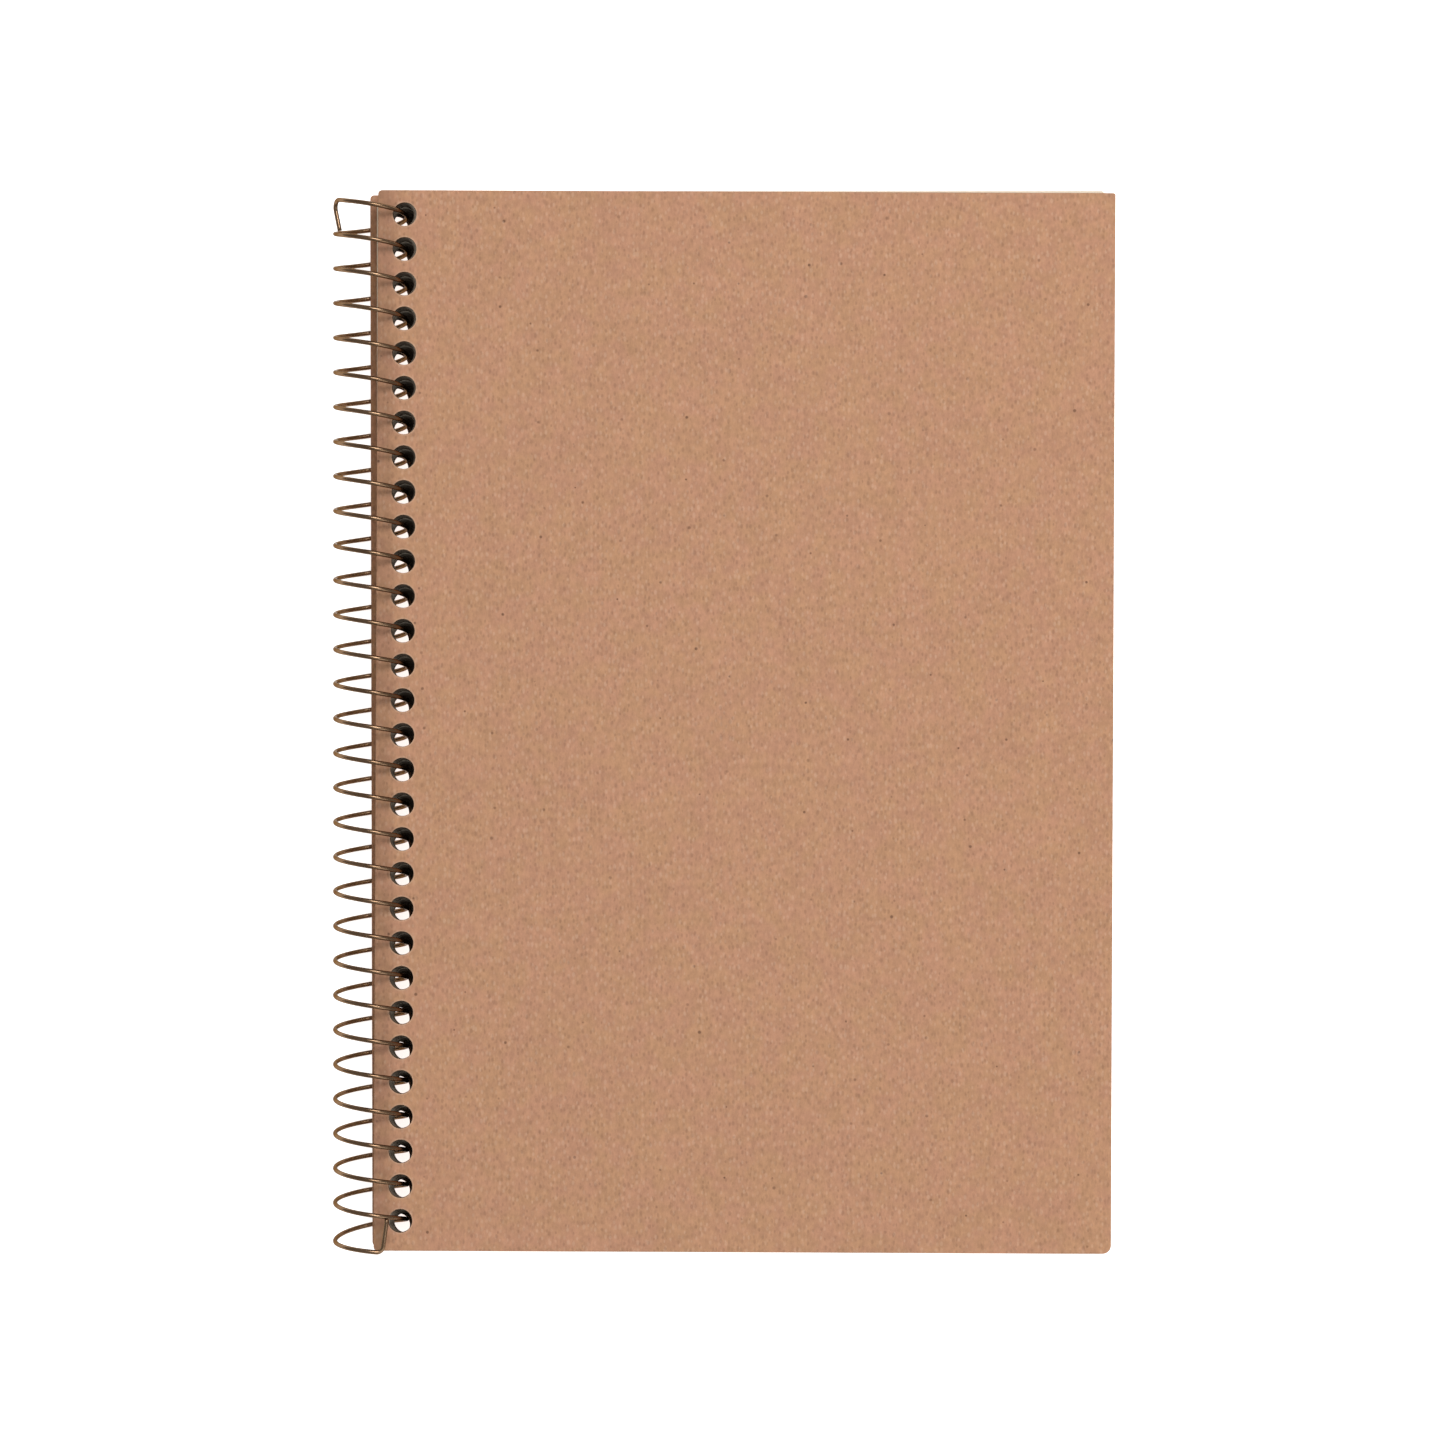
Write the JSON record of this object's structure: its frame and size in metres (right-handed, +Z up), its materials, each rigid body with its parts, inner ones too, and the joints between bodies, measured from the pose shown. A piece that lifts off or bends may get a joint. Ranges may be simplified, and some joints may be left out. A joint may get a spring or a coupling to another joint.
{
  "type": "spiral bound sketchbook",
  "caption": "Closed sketchbook: kraft board covers and a block of drawing paper on a single-wire spiral along the long edge.",
  "frame": {"origin": "on the table under the middle of the closed book", "axes": "+Y along the spine towards the head of the book, +X from the spine to the fore edge, +Z up through the front cover"},
  "size_m": [0.1552, 0.2108, 0.0151],
  "materials": {
    "kraft_board": "uncoated brown kraft board with fine fibres and flecks",
    "drawing_paper": "uncoated cream drawing paper",
    "bronze_wire": "dark bronze lacquered steel wire, semi-gloss"
  },
  "bodies": {
    "back_board": {"back_cover": "kraft_board"},
    "binding_wire": {"coil_wire": "bronze_wire", "coil_head_end": "bronze_wire", "coil_foot_end": "bronze_wire"},
    "front_board": {"front_cover": "kraft_board"},
    "leaf_01": {"sheet_01": "drawing_paper"},
    "leaf_02": {"sheet_02": "drawing_paper"},
    "leaf_03": {"sheet_03": "drawing_paper"},
    "leaf_04": {"sheet_04": "drawing_paper"},
    "leaf_05": {"sheet_05": "drawing_paper"},
    "leaf_06": {"sheet_06": "drawing_paper"},
    "leaf_07": {"sheet_07": "drawing_paper"},
    "leaf_08": {"sheet_08": "drawing_paper"},
    "leaf_09": {"sheet_09": "drawing_paper"},
    "leaf_10": {"sheet_10": "drawing_paper"},
    "leaf_11": {"sheet_11": "drawing_paper"},
    "leaf_12": {"sheet_12": "drawing_paper"},
    "leaf_13": {"sheet_13": "drawing_paper"},
    "leaf_14": {"sheet_14": "drawing_paper"},
    "leaf_15": {"sheet_15": "drawing_paper"},
    "leaf_16": {"sheet_16": "drawing_paper"},
    "leaf_17": {"sheet_17": "drawing_paper"},
    "leaf_18": {"sheet_18": "drawing_paper"},
    "leaf_19": {"sheet_19": "drawing_paper"},
    "leaf_20": {"sheet_20": "drawing_paper"},
    "leaf_21": {"sheet_21": "drawing_paper"},
    "leaf_22": {"sheet_22": "drawing_paper"},
    "leaf_23": {"sheet_23": "drawing_paper"},
    "leaf_24": {"sheet_24": "drawing_paper"},
    "leaf_25": {"sheet_25": "drawing_paper"},
    "leaf_26": {"sheet_26": "drawing_paper"},
    "leaf_27": {"sheet_27": "drawing_paper"},
    "leaf_28": {"sheet_28": "drawing_paper"},
    "leaf_29": {"sheet_29": "drawing_paper"},
    "leaf_30": {"sheet_30": "drawing_paper"}
  },
  "joints": [
    {"name": "front_cover_hinge", "type": "hinge", "parent": "back_board", "child": "front_board", "pos_m": [-0.07006, 0, 0.00755], "axis": [0, -1, 0], "range_deg": [0, 180], "deforming": ["coil_head_end", "coil_foot_end"]},
    {"name": "wire_creep", "type": "slide", "parent": "back_board", "child": "binding_wire", "axis": [0, -1, 0], "range_m": [0, 0.00235]},
    {"name": "sheet_01_hinge", "type": "hinge", "parent": "back_board", "child": "leaf_01", "pos_m": [-0.07006, 0, 0.00755], "axis": [0, -1, 0], "range_deg": [0, 180]},
    {"name": "sheet_02_hinge", "type": "hinge", "parent": "back_board", "child": "leaf_02", "pos_m": [-0.07006, 0, 0.00755], "axis": [0, -1, 0], "range_deg": [0, 180]},
    {"name": "sheet_03_hinge", "type": "hinge", "parent": "back_board", "child": "leaf_03", "pos_m": [-0.07006, 0, 0.00755], "axis": [0, -1, 0], "range_deg": [0, 180]},
    {"name": "sheet_04_hinge", "type": "hinge", "parent": "back_board", "child": "leaf_04", "pos_m": [-0.07006, 0, 0.00755], "axis": [0, -1, 0], "range_deg": [0, 180]},
    {"name": "sheet_05_hinge", "type": "hinge", "parent": "back_board", "child": "leaf_05", "pos_m": [-0.07006, 0, 0.00755], "axis": [0, -1, 0], "range_deg": [0, 180]},
    {"name": "sheet_06_hinge", "type": "hinge", "parent": "back_board", "child": "leaf_06", "pos_m": [-0.07006, 0, 0.00755], "axis": [0, -1, 0], "range_deg": [0, 180]},
    {"name": "sheet_07_hinge", "type": "hinge", "parent": "back_board", "child": "leaf_07", "pos_m": [-0.07006, 0, 0.00755], "axis": [0, -1, 0], "range_deg": [0, 180]},
    {"name": "sheet_08_hinge", "type": "hinge", "parent": "back_board", "child": "leaf_08", "pos_m": [-0.07006, 0, 0.00755], "axis": [0, -1, 0], "range_deg": [0, 180]},
    {"name": "sheet_09_hinge", "type": "hinge", "parent": "back_board", "child": "leaf_09", "pos_m": [-0.07006, 0, 0.00755], "axis": [0, -1, 0], "range_deg": [0, 180]},
    {"name": "sheet_10_hinge", "type": "hinge", "parent": "back_board", "child": "leaf_10", "pos_m": [-0.07006, 0, 0.00755], "axis": [0, -1, 0], "range_deg": [0, 180]},
    {"name": "sheet_11_hinge", "type": "hinge", "parent": "back_board", "child": "leaf_11", "pos_m": [-0.07006, 0, 0.00755], "axis": [0, -1, 0], "range_deg": [0, 180]},
    {"name": "sheet_12_hinge", "type": "hinge", "parent": "back_board", "child": "leaf_12", "pos_m": [-0.07006, 0, 0.00755], "axis": [0, -1, 0], "range_deg": [0, 180]},
    {"name": "sheet_13_hinge", "type": "hinge", "parent": "back_board", "child": "leaf_13", "pos_m": [-0.07006, 0, 0.00755], "axis": [0, -1, 0], "range_deg": [0, 180]},
    {"name": "sheet_14_hinge", "type": "hinge", "parent": "back_board", "child": "leaf_14", "pos_m": [-0.07006, 0, 0.00755], "axis": [0, -1, 0], "range_deg": [0, 180]},
    {"name": "sheet_15_hinge", "type": "hinge", "parent": "back_board", "child": "leaf_15", "pos_m": [-0.07006, 0, 0.00755], "axis": [0, -1, 0], "range_deg": [0, 180]},
    {"name": "sheet_16_hinge", "type": "hinge", "parent": "back_board", "child": "leaf_16", "pos_m": [-0.07006, 0, 0.00755], "axis": [0, -1, 0], "range_deg": [0, 180]},
    {"name": "sheet_17_hinge", "type": "hinge", "parent": "back_board", "child": "leaf_17", "pos_m": [-0.07006, 0, 0.00755], "axis": [0, -1, 0], "range_deg": [0, 180]},
    {"name": "sheet_18_hinge", "type": "hinge", "parent": "back_board", "child": "leaf_18", "pos_m": [-0.07006, 0, 0.00755], "axis": [0, -1, 0], "range_deg": [0, 180]},
    {"name": "sheet_19_hinge", "type": "hinge", "parent": "back_board", "child": "leaf_19", "pos_m": [-0.07006, 0, 0.00755], "axis": [0, -1, 0], "range_deg": [0, 180]},
    {"name": "sheet_20_hinge", "type": "hinge", "parent": "back_board", "child": "leaf_20", "pos_m": [-0.07006, 0, 0.00755], "axis": [0, -1, 0], "range_deg": [0, 180]},
    {"name": "sheet_21_hinge", "type": "hinge", "parent": "back_board", "child": "leaf_21", "pos_m": [-0.07006, 0, 0.00755], "axis": [0, -1, 0], "range_deg": [0, 180]},
    {"name": "sheet_22_hinge", "type": "hinge", "parent": "back_board", "child": "leaf_22", "pos_m": [-0.07006, 0, 0.00755], "axis": [0, -1, 0], "range_deg": [0, 180]},
    {"name": "sheet_23_hinge", "type": "hinge", "parent": "back_board", "child": "leaf_23", "pos_m": [-0.07006, 0, 0.00755], "axis": [0, -1, 0], "range_deg": [0, 180]},
    {"name": "sheet_24_hinge", "type": "hinge", "parent": "back_board", "child": "leaf_24", "pos_m": [-0.07006, 0, 0.00755], "axis": [0, -1, 0], "range_deg": [0, 180]},
    {"name": "sheet_25_hinge", "type": "hinge", "parent": "back_board", "child": "leaf_25", "pos_m": [-0.07006, 0, 0.00755], "axis": [0, -1, 0], "range_deg": [0, 180]},
    {"name": "sheet_26_hinge", "type": "hinge", "parent": "back_board", "child": "leaf_26", "pos_m": [-0.07006, 0, 0.00755], "axis": [0, -1, 0], "range_deg": [0, 180]},
    {"name": "sheet_27_hinge", "type": "hinge", "parent": "back_board", "child": "leaf_27", "pos_m": [-0.07006, 0, 0.00755], "axis": [0, -1, 0], "range_deg": [0, 180]},
    {"name": "sheet_28_hinge", "type": "hinge", "parent": "back_board", "child": "leaf_28", "pos_m": [-0.07006, 0, 0.00755], "axis": [0, -1, 0], "range_deg": [0, 180]},
    {"name": "sheet_29_hinge", "type": "hinge", "parent": "back_board", "child": "leaf_29", "pos_m": [-0.07006, 0, 0.00755], "axis": [0, -1, 0], "range_deg": [0, 180]},
    {"name": "sheet_30_hinge", "type": "hinge", "parent": "back_board", "child": "leaf_30", "pos_m": [-0.07006, 0, 0.00755], "axis": [0, -1, 0], "range_deg": [0, 180]}
  ],
  "couplings": [
    {"joint": "wire_creep", "follows": "front_cover_hinge", "m_per_rad": 0.00074795},
    {"joint": "sheet_01_hinge", "follows": "front_cover_hinge", "ratio": 0.997},
    {"joint": "sheet_02_hinge", "follows": "front_cover_hinge", "ratio": 0.99318},
    {"joint": "sheet_03_hinge", "follows": "front_cover_hinge", "ratio": 0.98936},
    {"joint": "sheet_04_hinge", "follows": "front_cover_hinge", "ratio": 0.98555},
    {"joint": "sheet_05_hinge", "follows": "front_cover_hinge", "ratio": 0.98173},
    {"joint": "sheet_06_hinge", "follows": "front_cover_hinge", "ratio": 0.97791},
    {"joint": "sheet_07_hinge", "follows": "front_cover_hinge", "ratio": 0.97409},
    {"joint": "sheet_08_hinge", "follows": "front_cover_hinge", "ratio": 0.97027},
    {"joint": "sheet_09_hinge", "follows": "front_cover_hinge", "ratio": 0.96645},
    {"joint": "sheet_10_hinge", "follows": "front_cover_hinge", "ratio": 0.96264},
    {"joint": "sheet_11_hinge", "follows": "front_cover_hinge", "ratio": 0.95882},
    {"joint": "sheet_12_hinge", "follows": "front_cover_hinge", "ratio": 0.955},
    {"joint": "sheet_13_hinge", "follows": "front_cover_hinge", "ratio": 0.04},
    {"joint": "sheet_14_hinge", "follows": "front_cover_hinge", "ratio": 0.03776},
    {"joint": "sheet_15_hinge", "follows": "front_cover_hinge", "ratio": 0.03553},
    {"joint": "sheet_16_hinge", "follows": "front_cover_hinge", "ratio": 0.03329},
    {"joint": "sheet_17_hinge", "follows": "front_cover_hinge", "ratio": 0.03106},
    {"joint": "sheet_18_hinge", "follows": "front_cover_hinge", "ratio": 0.02882},
    {"joint": "sheet_19_hinge", "follows": "front_cover_hinge", "ratio": 0.02659},
    {"joint": "sheet_20_hinge", "follows": "front_cover_hinge", "ratio": 0.02435},
    {"joint": "sheet_21_hinge", "follows": "front_cover_hinge", "ratio": 0.02212},
    {"joint": "sheet_22_hinge", "follows": "front_cover_hinge", "ratio": 0.01988},
    {"joint": "sheet_23_hinge", "follows": "front_cover_hinge", "ratio": 0.01765},
    {"joint": "sheet_24_hinge", "follows": "front_cover_hinge", "ratio": 0.01541},
    {"joint": "sheet_25_hinge", "follows": "front_cover_hinge", "ratio": 0.01318},
    {"joint": "sheet_26_hinge", "follows": "front_cover_hinge", "ratio": 0.01094},
    {"joint": "sheet_27_hinge", "follows": "front_cover_hinge", "ratio": 0.00871},
    {"joint": "sheet_28_hinge", "follows": "front_cover_hinge", "ratio": 0.00647},
    {"joint": "sheet_29_hinge", "follows": "front_cover_hinge", "ratio": 0.00424},
    {"joint": "sheet_30_hinge", "follows": "front_cover_hinge", "ratio": 0.002}
  ]
}
